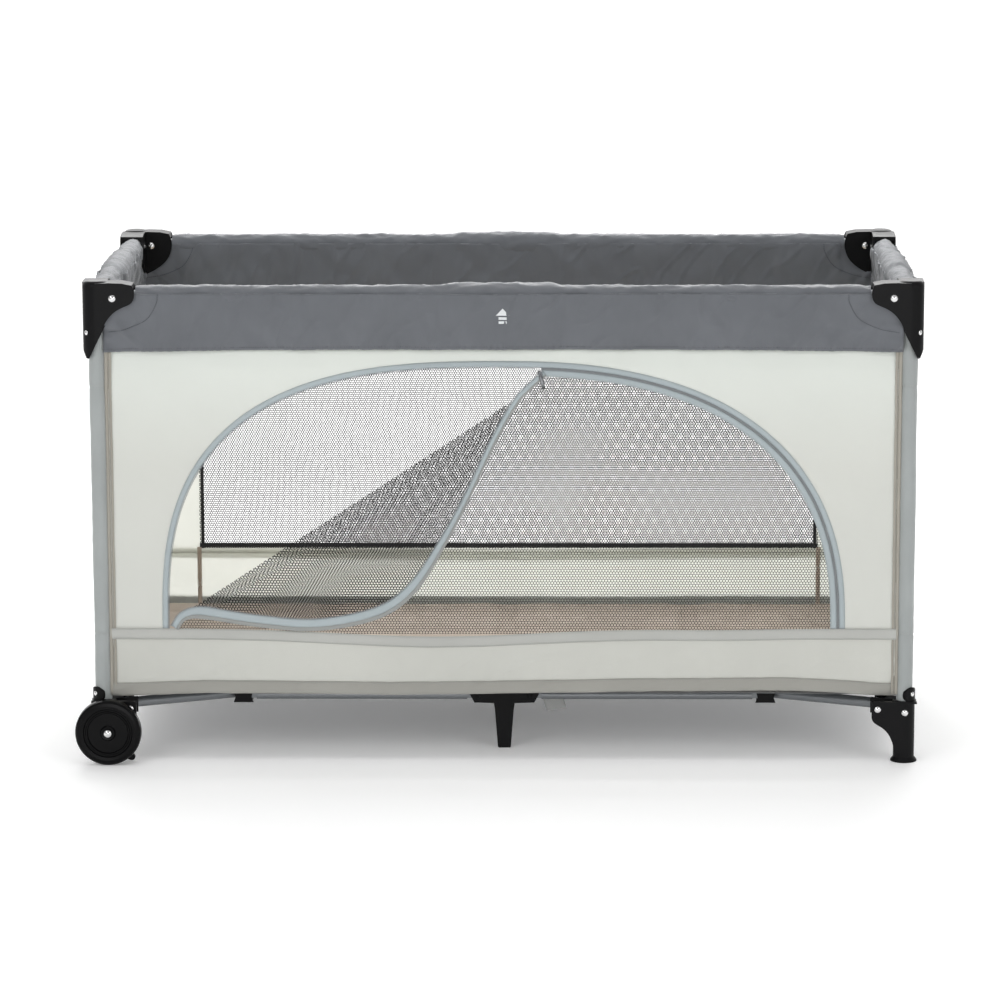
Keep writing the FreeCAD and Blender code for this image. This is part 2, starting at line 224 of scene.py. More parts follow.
def lattice(nt, along, up, pitch, shift):
    """Distance, in metres, from the nearest hole centre of one rectangular set of holes."""
    tall = pitch * 1.732
    u = math_node(nt, "FRACT", math_node(nt, "ADD", math_node(nt, "MULTIPLY", along, 1 / pitch), shift))
    v = math_node(nt, "FRACT", math_node(nt, "ADD", math_node(nt, "MULTIPLY", up, 1 / tall), shift))
    u = math_node(nt, "MULTIPLY", math_node(nt, "SUBTRACT", u, 0.5), pitch)
    v = math_node(nt, "MULTIPLY", math_node(nt, "SUBTRACT", v, 0.5), tall)
    square = math_node(nt, "ADD", math_node(nt, "MULTIPLY", u, u), math_node(nt, "MULTIPLY", v, v))
    return math_node(nt, "SQRT", square)


def netting(name, colour, pitch=0.0044, hole=0.00190):
    """Knitted netting with round holes in staggered rows."""
    m, nt, shader = new_material(name)
    place, split = position(nt)
    along = math_node(nt, "ADD", split.outputs["X"], split.outputs["Y"])
    first = lattice(nt, along, split.outputs["Z"], pitch, 0.0)
    second = lattice(nt, along, split.outputs["Z"], pitch, 0.5)
    thread = math_node(nt, "GREATER_THAN", math_node(nt, "MINIMUM", first, second), hole)
    shade = mix_colour(nt, noise_tex(nt, place, 500.0), colour, tuple(min(c * 2.2, 1) for c in colour))
    nt.links.new(shade, shader.inputs["Base Color"])
    nt.links.new(thread, shader.inputs["Alpha"])
    settings(shader, Roughness=0.75, Specular_IOR_Level=0.15)
    return m


def plastic(name, colour, rough=0.34, shine=0.32):
    """Moulded plastic: fine grain, uneven gloss, faint scuffs."""
    m, nt, shader = new_material(name)
    place = position(nt)[0]
    fine = noise_tex(nt, place, 1400.0, 2.0)
    patches = noise_tex(nt, place, 35.0, 5.0, 0.65)
    scuff = ramp(nt, noise_tex(nt, place, 160.0, 8.0, 0.75), 0.62, 0.74)
    shade = mix_colour(nt, scuff, colour, tuple(min(c * 1.7 + 0.006, 1) for c in colour))
    nt.links.new(shade, shader.inputs["Base Color"])
    gloss = math_node(nt, "ADD", rough - 0.06, math_node(nt, "MULTIPLY", patches, 0.12))
    gloss = math_node(nt, "ADD", gloss, math_node(nt, "MULTIPLY", scuff, 0.08))
    nt.links.new(gloss, shader.inputs["Roughness"])
    settings(shader, Coat_Weight=0.0, Coat_Roughness=0.2, Specular_IOR_Level=shine)
    bump(nt, shader, fine, 0.3, 0.00012)
    return m


def metal(name, colour, rough, metallic=1.0):
    """Painted or plated metal: fine grain and uneven gloss."""
    m, nt, shader = new_material(name)
    place = position(nt)[0]
    fine = noise_tex(nt, place, 1100.0, 3.0)
    patches = noise_tex(nt, place, 60.0, 4.0)
    shade = mix_colour(nt, patches, tuple(c * 0.88 for c in colour), colour)
    nt.links.new(shade, shader.inputs["Base Color"])
    gloss = math_node(nt, "ADD", rough - 0.05, math_node(nt, "MULTIPLY", patches, 0.1))
    nt.links.new(gloss, shader.inputs["Roughness"])
    settings(shader, Metallic=metallic)
    bump(nt, shader, fine, 0.2, 0.0001)
    return m


DARK = cloth("dark_padding", (0.128, 0.136, 0.150), pitch=0.0011, depth=0.00016, rough=0.55,
             sheen=0.40, spread=0.07, cloudy=14.0, strength=0.35)
# Painted shade: the end rails' copy of the dark padding is painted a little darker than the front and
# back padding, to hold down the light falling on them from above.
DARK_ENDS_PAINTED_SHADE = cloth("dark_padding_ends_painted_shade", (0.122, 0.130, 0.142), pitch=0.0011, depth=0.00016,
                 rough=0.60, sheen=0.20, spread=0.08, cloudy=14.0, strength=0.35)
# The wall cloth takes rise=0.55: a painted glow of light, paler towards the top of the wall.
LIGHT = cloth("light_wall_cloth", (0.755, 0.765, 0.725), pitch=0.0008, depth=0.00012, rough=0.78,
              sheen=0.2, spread=0.025, cloudy=3.0, through=0.28, strength=0.35, rise=0.55)
SKIRT = cloth("light_skirt_cloth", (0.635, 0.64, 0.595), pitch=0.0008, depth=0.00014, rough=0.8,
              sheen=0.2, spread=0.05, cloudy=5.0, through=0.12, strength=0.4)
HEM = cloth("hem_cloth", (0.36, 0.355, 0.325), pitch=0.0008, depth=0.00014, rough=0.8,
            spread=0.05, through=0.05)
BELT = cloth("belt_tape", (0.47, 0.475, 0.45), pitch=0.0016, depth=0.0003, rough=0.75, spread=0.06)
SLEEVE = cloth("post_sleeve_cloth", (0.355, 0.378, 0.375), pitch=0.0009, depth=0.0002, rough=0.6,
               sheen=0.35, spread=0.06, cloudy=14.0)
BEIGE = cloth("seam_binding", (0.37, 0.35, 0.305), pitch=0.0011, depth=0.0002, spread=0.08)
TAPE = cloth("zip_tape", (0.40, 0.455, 0.475), pitch=0.0013, depth=0.00025, rough=0.7, spread=0.05)
TAPE_GREY = cloth("edge_tape", (0.31, 0.32, 0.31), pitch=0.0013, depth=0.00025, rough=0.7, spread=0.06)
HEM_BLACK = cloth("window_binding", (0.030, 0.031, 0.032), pitch=0.0012, depth=0.0003, spread=0.2)
MATTRESS = cloth("mattress_cover", (0.535, 0.445, 0.365), pitch=0.0012, depth=0.0003, rough=0.85,
                 spread=0.06, cloudy=8.0)
FLOOR_CLOTH = cloth("base_cloth", (0.16, 0.165, 0.17), pitch=0.001, depth=0.0002, spread=0.08)
WEB = cloth("webbing", (0.40, 0.405, 0.395), pitch=0.0022, depth=0.0006, rough=0.75, spread=0.1,
            strength=0.8)
NET = netting("black_netting", (0.010, 0.010, 0.011))
NET_BACK = netting("black_netting_fine", (0.010, 0.010, 0.011), pitch=0.0039, hole=0.0015)
# Painted light: the back wall, back skirt and back belt use this cloth, painted paler than the front
# wall cloth to stand in for the light shining through them from behind.
BACK_CLOTH_PAINTED_LIGHT = cloth("thin_back_cloth_painted_light", (0.86, 0.865, 0.83), pitch=0.0008, depth=0.00012, rough=0.78,
                   sheen=0.2, spread=0.02, cloudy=3.0, through=0.70, strength=0.35)
THREAD_DARK = cloth("dark_thread", (0.045, 0.048, 0.055), pitch=0.0006, depth=0.0001)
THREAD_LIGHT = cloth("light_thread", (0.42, 0.43, 0.41), pitch=0.0006, depth=0.0001)
PRINT = cloth("pale_print", (0.72, 0.74, 0.75), pitch=0.0011, depth=0.00012, spread=0.04)
BLACK = plastic("black_moulding", (0.0085, 0.0085, 0.0090), shine=0.075)
WHEEL = plastic("wheel_moulding", (0.0035, 0.0035, 0.0038), rough=0.24, shine=0.10)
TEETH = plastic("zip_coil", (0.25, 0.27, 0.285), rough=0.45)
TUBE = metal("grey_tube_paint", (0.20, 0.212, 0.222), 0.34, metallic=0.55)
ZINC = metal("zinc_rivet", (0.78, 0.78, 0.78), 0.18)
SLIDER = metal("zip_slider", (0.30, 0.31, 0.32), 0.28)


# ---- CAD nodes: smooth shading, small bevels, materials

NODE_LOOK = (("pins", ZINC), ("post", TUBE), ("rail", TUBE), ("arm", TUBE), ("link", TUBE),
             ("wheel_bracket", BLACK), ("wheel", WHEEL), ("", BLACK))

for name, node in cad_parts.items():
    look = next(m for start, m in NODE_LOOK if name.startswith(start))
    node.data.materials.clear()
    node.data.materials.append(look)
    for polygon in node.data.polygons:
        polygon.use_smooth = True
        polygon.material_index = 0
    if look in (BLACK, WHEEL):
        edge = node.modifiers.new("edge", "BEVEL")
        edge.width = 0.0007
        edge.segments = 2
        edge.limit_method = "ANGLE"
        edge.angle_limit = math.radians(38)
        edge.harden_normals = True
    split = node.modifiers.new("split", "EDGE_SPLIT")
    split.split_angle = math.radians(32)


# ---- mesh making

def make_object(name, verts, faces, material, thickness=0.0):
    mesh = bpy.data.meshes.new(name)
    mesh.from_pydata([tuple(v) for v in verts], [], faces)
    mesh.validate()
    mesh.update()
    mesh.materials.append(material)
    for p in mesh.polygons:
        p.use_smooth = True
    obj = bpy.data.objects.new(name, mesh)
    scene.collection.objects.link(obj)
    if thickness:
        solid = obj.modifiers.new("thickness", "SOLIDIFY")
        solid.thickness = thickness
        solid.offset = 0.0
        solid.use_even_offset = True
    return obj


def grid(name, columns, rows, at, material, thickness=0.0, closed=False):
    """Sheet of quads; at(i / columns, j / rows) gives a point."""
    verts = []
    across = columns if closed else columns + 1
    for j in range(rows + 1):
        for i in range(across):
            verts.append(at(i / columns, j / rows))
    faces = []
    for j in range(rows):
        for i in range(columns):
            a = j * across + i
            b = j * across + (i + 1) % across
            faces.append((a, b, b + across, a + across))
    return make_object(name, verts, faces, material, thickness)


def inside(p, ring):
    """Whether a flat point lies within a closed outline."""
    hit = False
    for (x0, y0), (x1, y1) in zip(ring, ring[1:] + ring[:1]):
        if (y0 > p[1]) != (y1 > p[1]) and p[0] < (x1 - x0) * (p[1] - y0) / (y1 - y0) + x0:
            hit = not hit
    return hit


def near(p, ring, gap):
    """Whether a flat point lies closer than gap to an outline."""
    for (x0, y0), (x1, y1) in zip(ring, ring[1:] + ring[:1]):
        dx, dy = x1 - x0, y1 - y0
        t = min(max(((p[0] - x0) * dx + (p[1] - y0) * dy) / (dx * dx + dy * dy + 1e-12), 0), 1)
        if math.hypot(p[0] - x0 - t * dx, p[1] - y0 - t * dy) < gap:
            return True
    return False


def resample(points, step):
    """Points about step apart round a closed outline."""
    pts = [Vector(p) for p in points]
    pts.append(pts[0])
    out = [pts[0]]
    for a, b in zip(pts, pts[1:]):
        n = max(1, round((b - a).length / step))
        out += [a.lerp(b, k / n) for k in range(1, n + 1)]
    out.pop()
    return out


def cut_sheet(name, outer, holes, step, place, material, thickness=0.0):
    """Sheet with any outline and holes; place(s, z) gives the point in space."""
    rings = [[tuple(p) for p in resample(r, step)] for r in [outer, *holes]]
    points, edges = [], []
    for ring in rings:
        first = len(points)
        points += ring
        edges += [(first + i, first + (i + 1) % len(ring)) for i in range(len(ring))]
    s0, s1 = min(p[0] for p in rings[0]), max(p[0] for p in rings[0])
    z0, z1 = min(p[1] for p in rings[0]), max(p[1] for p in rings[0])
    rows = max(1, int((z1 - z0) / (step * 0.87)))
    for j in range(1, rows):
        z = z0 + (z1 - z0) * j / rows
        s = s0 + step * (0.5 if j % 2 else 1.0)
        while s < s1:
            p = (s, z)
            if inside(p, rings[0]) and not any(inside(p, h) for h in rings[1:]):
                if not any(near(p, r, step * 0.45) for r in rings):
                    points.append(p)
            s += step
    got = delaunay_2d_cdt([Vector(p) for p in points], edges, [], 0, 1e-7)
    flat, tris = got[0], got[2]
    faces = []
    for t in tris:
        c = sum((flat[i] for i in t), Vector((0, 0))) / 3
        if inside(c, rings[0]) and not any(inside(c, h) for h in rings[1:]):
            faces.append(tuple(t))
    used = sorted({i for t in faces for i in t})
    index = {v: k for k, v in enumerate(used)}
    verts = [place(flat[i][0], flat[i][1]) for i in used]
    return make_object(name, verts, [tuple(index[i] for i in t) for t in faces], material,
                       thickness)


def curve_points(control, count):
    """Smooth line through control points (Catmull-Rom), count spans each."""
    pts = [Vector(p) for p in control]
    pts = [pts[0] * 2 - pts[1]] + pts + [pts[-1] * 2 - pts[-2]]
    out = []
    for a, b, c, d in zip(pts, pts[1:], pts[2:], pts[3:]):
        for k in range(count):
            t = k / count
            out.append(0.5 * ((2 * b) + (c - a) * t + (2 * a - 5 * b + 4 * c - d) * t * t
                              + (3 * b - a - 3 * c + d) * t ** 3))
    out.append(pts[-2])
    return out


def ride_side(obj, side):
    """A fabric piece of one side: it rides on that side's post."""
    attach(obj, BODY[side])
    if side in ("front", "back"):
        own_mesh(obj)
    else:
        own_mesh(obj)
    return obj


def across_line(line, i):
    """Unit vector across a flat line at its point i."""
    along = (line[min(i + 1, len(line) - 1)] - line[max(i - 1, 0)]).normalized()
    return Vector((-along.y, along.x))


def ribbon(side, name, line, left, right, place, material, thickness=0.0008, crown=0.0004):
    """Tape along a flat line of (s, z) points, from left(t) to right(t) beside it."""
    count, columns = len(line), 4
    verts, faces = [], []
    for i, p in enumerate(line):
        across = across_line(line, i)
        t = i / (count - 1)
        for k in range(columns + 1):
            w = left(t) + (right(t) - left(t)) * k / columns
            q = p + across * w
            rise = crown * (1 - (2 * k / columns - 1) ** 2)
            verts.append(place(q.x, q.y, rise))
    for i in range(count - 1):
        for k in range(columns):
            a = i * (columns + 1) + k
            faces.append((a, a + 1, a + columns + 2, a + columns + 1))
    return ride_side(make_object(name, verts, faces, material, thickness), side)


def stitches(name, points, normal, material, length=0.0022, width=0.00035):
    """Row of raised thread stitches along points in space; normal(point) points outward."""
    gap, lift = 0.0034, 0.0003
    line = [Vector(p) for p in points]
    verts, faces = [], []
    carry = 0.0
    for a, b in zip(line, line[1:]):
        span = (b - a).length
        if span < 1e-9:
            continue
        along = (b - a) / span
        at = carry
        while at < span:
            p = a + along * at
            up = Vector(normal(p)).normalized()
            side = along.cross(up).normalized()
            n = len(verts)
            for share, size in ((-0.5, 0.35), (-0.25, 1.0), (0.25, 1.0), (0.5, 0.35)):
                c = p + along * (length * share)
                verts += [c + side * (width * size), c + up * (lift + width * size),
                          c - side * (width * size)]
            for k in range(3):
                m = n + k * 3
                faces += [(m, m + 3, m + 4, m + 1), (m + 1, m + 4, m + 5, m + 2)]
            at += gap
        carry = at - span
    return make_object(name, verts, faces, material)


# ---- rail covers

BAND_LOW = 0.628
HEM_T = 0.952
RAILS = {"front": ("rail_front_left", "rail_front_right"), "back": ("rail_back_left", "rail_back_right"),
         "left": ("rail_left_front", "rail_left_back"), "right": ("rail_right_front", "rail_right_back")}


def rail_wrinkle(s, around, seed, strong):
    a = soft_noise(s * 26, around * 1.6, seed)
    b = soft_noise(s * 70, around * 2.5, seed + 3)
    c = soft_noise(s * 150 + around * 2.0, around * 2.0, seed + 5)
    d = crease(s * 55 + around * 0.5, around * 0.8, seed + 9)
    return strong * (0.0014 * a + 0.0011 * b + 0.0005 * c + 0.0010 * d)


def rail_sleeve(side, part, seed):
    """Padded tube round one rail half, from its corner bracket to the middle of the lock."""
    half = half_of(side)
    outer = half - 0.0595
    strong = 1.0 if side in ("front", "back") else 1.15
    sign = -1 if part == 0 else 1
    inner = 0.0
    if side == "back":
        inner = 0.066 if part == 0 else -0.064
    columns = int((outer + inner) / 0.0042)

    def at(i, j):
        s = sign * (outer - (outer + inner) * j)
        angle = 2 * math.pi * i
        bulge = 0.0036 * smooth(0.090, 0.068, abs(s))
        pinch = 0.0016 * smooth(outer - 0.02, outer, abs(s))
        r = 0.0168 + bulge - pinch + rail_wrinkle(s, angle, seed, strong)
        if math.sin(angle) < -0.2:
            r -= 0.002 * smooth(-0.2, -0.8, math.sin(angle))
        n = r * math.cos(angle)
        z = RAIL_Z + 0.0005 + r * math.sin(angle)
        return on_side(side, s, n, z)

    # The end rails take the copy of the padding painted a little darker (painted shade).
    look = DARK if side in ("front", "back") else DARK_ENDS_PAINTED_SHADE
    obj = grid(f"rail_sleeve_{side}_{part}", 40, columns, at, look, closed=True)
    if side == "back" and part == 1:
        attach(obj, RAILS[side][part])
    else:
        start = on_side(side, sign * 0.074, 0, RAIL_Z)
        end = on_side(side, sign * 0.040, 0, RAIL_Z)
        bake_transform(obj)
    return obj


def band_low(side, s):
    edge = 0.004 * abs(s / half_of(side)) ** 3
    return BAND_LOW + 0.0028 - edge


def band_surface(side, s, t, seed, out):
    """Point on the band that hangs from the rail. t is 0 at the top and 1 at the stitched hem."""
    half = half_of(side)
    top = RAIL_Z + (0.0065 if out else 0.004)
    low = band_low(side, s)
    z = top + (low - top) * t
    strong = 1.45 if side in ("front", "back") else 1.6
    belly = 0.0176 + 0.0034 * smooth(0.090, 0.068, abs(s))
    n = belly + (0.0085 - belly) * smooth(0.0, 1.0, t) + 0.0022 * math.sin(math.pi * t)
    near_end = smooth(half - 0.11, half - 0.01, abs(s))
    fold = 0.0026 * soft_noise(s * 12 + t * 1.0, t * 1.5, seed) * (0.5 + t)
    fold += 0.0030 * soft_noise(s * 30 - t * 1.5, t * 1.8, seed + 2)
    fold += 0.0018 * crease(s * 24 + t * 1.2, t * 0.9, seed + 8)
    fold += 0.0011 * soft_noise(s * 80 + t * 0.9, t * 2.4, seed + 3)
    lean = s * 38 + (1 - t) * 2.8 * (1 if s < 0 else -1)
    fold += 0.0040 * near_end * soft_noise(lean, t * 0.7, seed + 4)
    fold += 0.0030 * near_end * crease(lean * 0.8, t * 0.8, seed + 9)
    pucker = math.sin(s * 2 * math.pi / 0.0125 + 2.5 * soft_noise(s * 40, 0, seed + 6))
    fold += 0.0008 * pucker * smooth(0.76, 1.0, t)
    tight = near_end * smooth(half - 0.06, half, abs(s))
    fold += 0.0011 * tight * math.sin(z * 2 * math.pi / 0.021 + s * 60)
    groove = 0.0012 * math.exp(-((t - HEM_T) / 0.018) ** 2)
    n += fold * strong - groove
    n = max(n, 0.0062 + 0.0003 * t)
    tuck = smooth(half - 0.072, half - 0.060, abs(s)) * smooth(0.655, 0.680, z)
    if out:
        n += (min(n, 0.0150) - n) * tuck
    else:
        n = 0.002 - n
        n += (max(n, -0.0113) - n) * tuck
    return s, n, z


def band(side, seed, out):
    half = half_of(side) - 0.0105
    columns = int(2 * half / 0.0034)

    def at(i, j):
        s, n, z = band_surface(side, (2 * i - 1) * half, j, seed, out)
        return on_side(side, s, n, z)

    # The end rails take the copy of the padding painted a little darker (painted shade).
    look = DARK if side in ("front", "back") else DARK_ENDS_PAINTED_SHADE
    word = "outer" if out else "inner"
    obj = grid(f"rail_band_{word}_{side}", columns, 34, at, look, 0.0022)
    ride_side(obj, side)
    facing = outward_of(side) * (1 if out else -1)

    def on_hem(s):
        s, n, z = band_surface(side, s, HEM_T, seed, out)
        return on_side(side, s, n, z) + facing * 0.0013

    seam = stitches(f"band_stitch_{word}_{side}", along_side(half, on_hem), lambda p: facing,
                    THREAD_DARK)
    ride_side(seam, side)


SEED = {"front": 11, "back": 23, "left": 37, "right": 51}
for side in BODY:
    first = rail_sleeve(side, 0, SEED[side])
    rail_sleeve(side, 1, SEED[side])
    band(side, SEED[side] + 1, True)
    band(side, SEED[side] + 2, False)
    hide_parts("cover_" + side)


def patch_seam(side, end, out, seed):
    """Curved seam of the patch that strengthens a corner of the band."""
    half = half_of(side)
    control = [(half - 0.093, 0.02), (half - 0.091, 0.17), (half - 0.076, 0.44), (half - 0.046, 0.60),
               (half - 0.018, 0.66)]
    facing = outward_of(side) * (1 if out else -1)
    line = []
    for p in curve_points(control, 12):
        s, n, z = band_surface(side, end * p.x, p.y, seed, out)
        line.append(on_side(side, s, n, z) + facing * 0.0014)
    word = "outer" if out else "inner"
    where = "low" if end < 0 else "high"
    obj = stitches(f"patch_seam_{word}_{side}_{where}", line, lambda p: facing, THREAD_DARK,
                   length=0.0030, width=0.0004)
    ride_side(obj, side)


for side in BODY:
    for end in (-1, 1):
        patch_seam(side, end, True, SEED[side] + 1)
        patch_seam(side, end, False, SEED[side] + 2)


# ---- light walls, skirts and belts

WALL_N = 0.0045


def belt_top(side, s):
    if side != "front":
        return 0.2045 - 0.004 * math.exp(-(s / (0.45 * half_of(side))) ** 2)
    sag = 0.0125 * math.exp(-((s + 0.10) / 0.21) ** 2)
    return 0.2050 - sag - 0.002 * math.exp(-((s - 0.32) / 0.1) ** 2)


def wall_n(side, s, z, seed):
    """How far the tight wall cloth stands out: faint tension folds."""
    half = half_of(side)
    edge = smooth(half - 0.013, half - 0.10, abs(s))
    calm = smooth(BAND_LOW, BAND_LOW - 0.10, z)
    n = WALL_N + 0.0018 * soft_noise(s * 5, z * 6, seed) * edge
    lean = s * 16 + z * 9 * (1 if s < 0 else -1)
    n += 0.0011 * soft_noise(lean, z * 3, seed + 1) * (1 - 0.6 * calm)
    n += 0.0006 * soft_noise(s * 42, z * 7, seed + 2) * (1 - edge * 0.7)
    n += 0.0012 * crease(s * 6 + z * 7, z * 2.5, seed + 6) * edge
    tucked = smooth(BAND_LOW - 0.030, BAND_LOW - 0.004, z)
    return n + (min(n, WALL_N) - 0.0022 - n) * tucked


def arch(t):
    """Door outline from its left foot (t = 0) over the top to its right foot (t = 1)."""
    a = math.pi * (1 - t)
    c, q = math.cos(a), math.sin(a)
    power = 2.8 if c < 0 else 2.45
    s = 0.506 * (1 if c > 0 else -1) * abs(c) ** (2 / power)
    z = 0.2045 + 0.3995 * max(q, 0.0) ** (2 / power)
    return Vector((s, z))


def arch_line(t0, t1, count):
    return [arch(t0 + (t1 - t0) * k / count) for k in range(count + 1)]


def even(line, step):
    """The same line with evenly spaced points."""
    total = sum((b - a).length for a, b in zip(line, line[1:]))
    count = max(2, round(total / step))
    out, walked, k = [line[0]], 0.0, 0
    for i in range(1, count):
        goal = total * i / count
        while walked + (line[k + 1] - line[k]).length < goal:
            walked += (line[k + 1] - line[k]).length
            k += 1
        seg = (line[k + 1] - line[k]).length
        out.append(line[k].lerp(line[k + 1], (goal - walked) / seg))
    out.append(line[-1])
    return out


def rectangle(s0, s1, z0, z1):
    return [(s0, z0), (s1, z0), (s1, z1), (s0, z1)]


WINDOW_S, WINDOW_LOW, WINDOW_HIGH = 0.505, 0.209, 0.600
WINDOW = rectangle(-WINDOW_S, WINDOW_S, WINDOW_LOW, WINDOW_HIGH)


def wall(side):
    half = half_of(side) - 0.0115
    seed = SEED[side] + 70
    ring = [(-half, 0.195), (half, 0.195), (half, BAND_LOW + 0.006), (-half, BAND_LOW + 0.006)]
    holes = []
    if side == "front":
        door = [tuple(p) for p in even(arch_line(0.0, 1.0, 400), 0.007)]
        ring = [(-half, 0.195), (door[0][0], 0.195)] + door + [(door[-1][0], 0.195), (half, 0.195),
                (half, BAND_LOW + 0.006), (-half, BAND_LOW + 0.006)]
    if side == "back":
        holes = [WINDOW]

    def place(s, z):
        return on_side(side, s, wall_n(side, s, z, seed), z)

    # The back wall takes the cloth painted paler (painted light).
    look = BACK_CLOTH_PAINTED_LIGHT if side == "back" else LIGHT
    obj = cut_sheet("wall_cloth_" + side, ring, holes, 0.010, place, look, 0.0009)
    ride_side(obj, side)
    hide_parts("wall_" + side)
    flat = {"front": 0.172, "back": 0.163}
    flat.get(side)
    return obj


def skirt_low(side, s):
    if side == "front":
        return 0.1070 + 0.0035 * math.sin(s * 5.2 - 0.6) - 0.0070 * smooth(0.42, 0.59, abs(s))
    return 0.104 + 0.002 * soft_noise(s * 4, 0, SEED[side])


def skirt_n(side, s, z, seed):
    half = half_of(side)
    t = (0.19 - z) / 0.085
    n = WALL_N + 0.0008
    n += 0.0036 * soft_noise(s * 7, t * 1.2, seed) * smooth(0, 0.5, t)
    n += 0.0022 * crease(s * 11 + t * 1.5, t * 1.1, seed + 5) * smooth(0.1, 0.6, t)
    lean = s * 22 + t * 1.6 * (1 if s > 0 else -1)
    n += 0.0034 * soft_noise(lean, t * 0.8, seed + 1) * (0.35 + 0.65 * smooth(half - 0.30, half, abs(s)))
    n += 0.0008 * soft_noise(s * 60, t * 2, seed + 2)
    return n * (1 - 0.2 * smooth(half - 0.03, half - 0.012, abs(s))) - 0.002 * t


def skirt(side):
    half = half_of(side) - 0.0115
    seed = SEED[side] + 90

    def at(i, j):
        s = (2 * i - 1) * half
        low, top = skirt_low(side, s), belt_top(side, s) - 0.006
        z = top + (low - top) * j
        return on_side(side, s, skirt_n(side, s, z, seed), z)

    columns = int(2 * half / 0.005)
    # The back skirt takes the cloth painted paler (painted light).
    look = BACK_CLOTH_PAINTED_LIGHT if side == "back" else SKIRT
    obj = grid("skirt_" + side, columns, 18, at, look, 0.0010)
    ride_side(obj, side)

    def hem_at(i, j):
        s = (2 * i - 1) * half
        low = skirt_low(side, s)
        z = low - 0.0012 + 0.0200 * j
        n = skirt_n(side, s, z, seed) + 0.0011 + 0.0006 * math.sin(math.pi * j)
        n += 0.00035 * math.sin(s * 2 * math.pi / 0.011 + 2 * soft_noise(s * 30, 1, seed)) * j
        return on_side(side, s, n, z)

    hem = grid("skirt_hem_" + side, columns, 5, hem_at, HEM, 0.0011)
    ride_side(hem, side)
    outward = outward_of(side)

    def on_hem(s):
        z = skirt_low(side, s) + 0.0165
        return on_side(side, s, skirt_n(side, s, z, seed) + 0.0024, z)

    ride_side(stitches("hem_stitch_" + side, along_side(half, on_hem), lambda p: outward,
                       THREAD_LIGHT), side)

    def belt_at(i, j):
        s = (2 * i - 1) * half
        z = belt_top(side, s) - 0.0165 * j
        n = WALL_N + 0.0021 + 0.0007 * math.sin(math.pi * j) + 0.0005 * soft_noise(s * 30, j, seed)
        return on_side(side, s, n, z)

    # Painted light: at the back the belt takes the paler cloth instead of the grey belt tape, so no
    # shaded grey band shows through the back wall.
    look = BACK_CLOTH_PAINTED_LIGHT if side == "back" else BELT
    belt = grid("belt_" + side, columns, 6, belt_at, look, 0.0013)
    ride_side(belt, side)
    for share in (0.10, 0.90):
        line = along_side(half, lambda s: belt_at((s / half + 1) / 2, share) + outward * 0.0009)
        ride_side(stitches(f"belt_stitch_{side}_{int(share * 10)}", line, lambda p: outward,
                           THREAD_LIGHT), side)


for side in BODY:
    wall(side)
    skirt(side)


# ---- corner bindings and post sleeves

CORNERS = {"front_left": (-1, -1), "front_right": (1, -1), "back_left": (-1, 1), "back_right": (1, 1)}


def post_sleeve(corner, sx, sy):
    cx, cy = MID + sx * HALF["x"], sy * HALF["y"]
    low, top = 0.0945, 0.662

    def at(i, j):
        angle = 2 * math.pi * i
        z = low + (top - low) * j
        around = (math.cos(angle) * 1.5 + z * 11, math.sin(angle) * 1.5)
        r = SLEEVE_R + 0.0007 * soft_noise(*around, sx * 3 + sy)
        r += 0.0004 * soft_noise(z * 60, angle, 5 + sx)
        r -= 0.0010 * math.exp(-((z - 0.574) / 0.0018) ** 2)
        r -= 0.0008 * math.exp(-((z - 0.196) / 0.0018) ** 2)
        r = min(r, 0.01275) if z < 0.12 or z > 0.61 else r
        return Vector((cx + r * math.cos(angle), cy + r * math.sin(angle), z))

    obj = grid("post_sleeve_" + corner, 36, 190, at, SLEEVE, closed=True)
    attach(obj, "corner_" + corner)
    for z in (0.5765, 0.1985):
        ring = []
        for k in range(41):
            a = 2 * math.pi * k / 40
            ring.append((cx + 0.0128 * math.cos(a), cy + 0.0128 * math.sin(a), z))
        seam = stitches(f"sleeve_stitch_{corner}_{int(z * 1000)}", ring,
                        lambda p: (p.x - cx, p.y - cy, 0), THREAD_LIGHT)
        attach(seam, "corner_" + corner)


for corner, (sx, sy) in CORNERS.items():
    post_sleeve(corner, sx, sy)


def side_binding(side, end):
    """Folded beige binding that joins the wall cloth to a post sleeve."""
    half = half_of(side)
    where = "low" if end < 0 else "high"

    def at(i, j):
        z = 0.104 + (BAND_LOW - 0.101) * j
        s = end * (half - 0.0105 - 0.0105 * i)
        waver = 0.0006 * soft_noise(z * 22, 2, SEED[side] + end)
        ridge = 0.0026 * math.sin(math.pi * min(i * 1.9, 1.0)) if i < 0.53 else 0.0009
        dip = 0.0018 * math.exp(-((i - 0.56) / 0.09) ** 2)
        return on_side(side, s + waver, WALL_N + 0.0008 + ridge - dip, z)

    obj = grid(f"wall_binding_{side}_{where}", 12, 120, at, BEIGE, 0.0008)
    if side in ("front", "back"):
        corner = side + ("_left" if end < 0 else "_right")
    else:
        corner = ("front_" if end < 0 else "back_") + side
    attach(obj, "corner_" + corner)
    line = []
    for k in range(170):
        z = 0.106 + 0.003 * k
        line.append(on_side(side, end * (half - 0.0178), WALL_N + 0.0026, z))
    outward = outward_of(side)
    seam = stitches(f"binding_stitch_{side}_{where}", line, lambda p: outward, THREAD_LIGHT)
    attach(seam, "corner_" + corner)


for side in BODY:
    for end in (-1, 1):
        side_binding(side, end)


# ---- back window

def on_wall(side, s, z, rise):
    """Point on the wall cloth of one side, rise metres outward."""
    return on_side(side, s, wall_n(side, s, z, SEED[side] + 70) + rise, z)


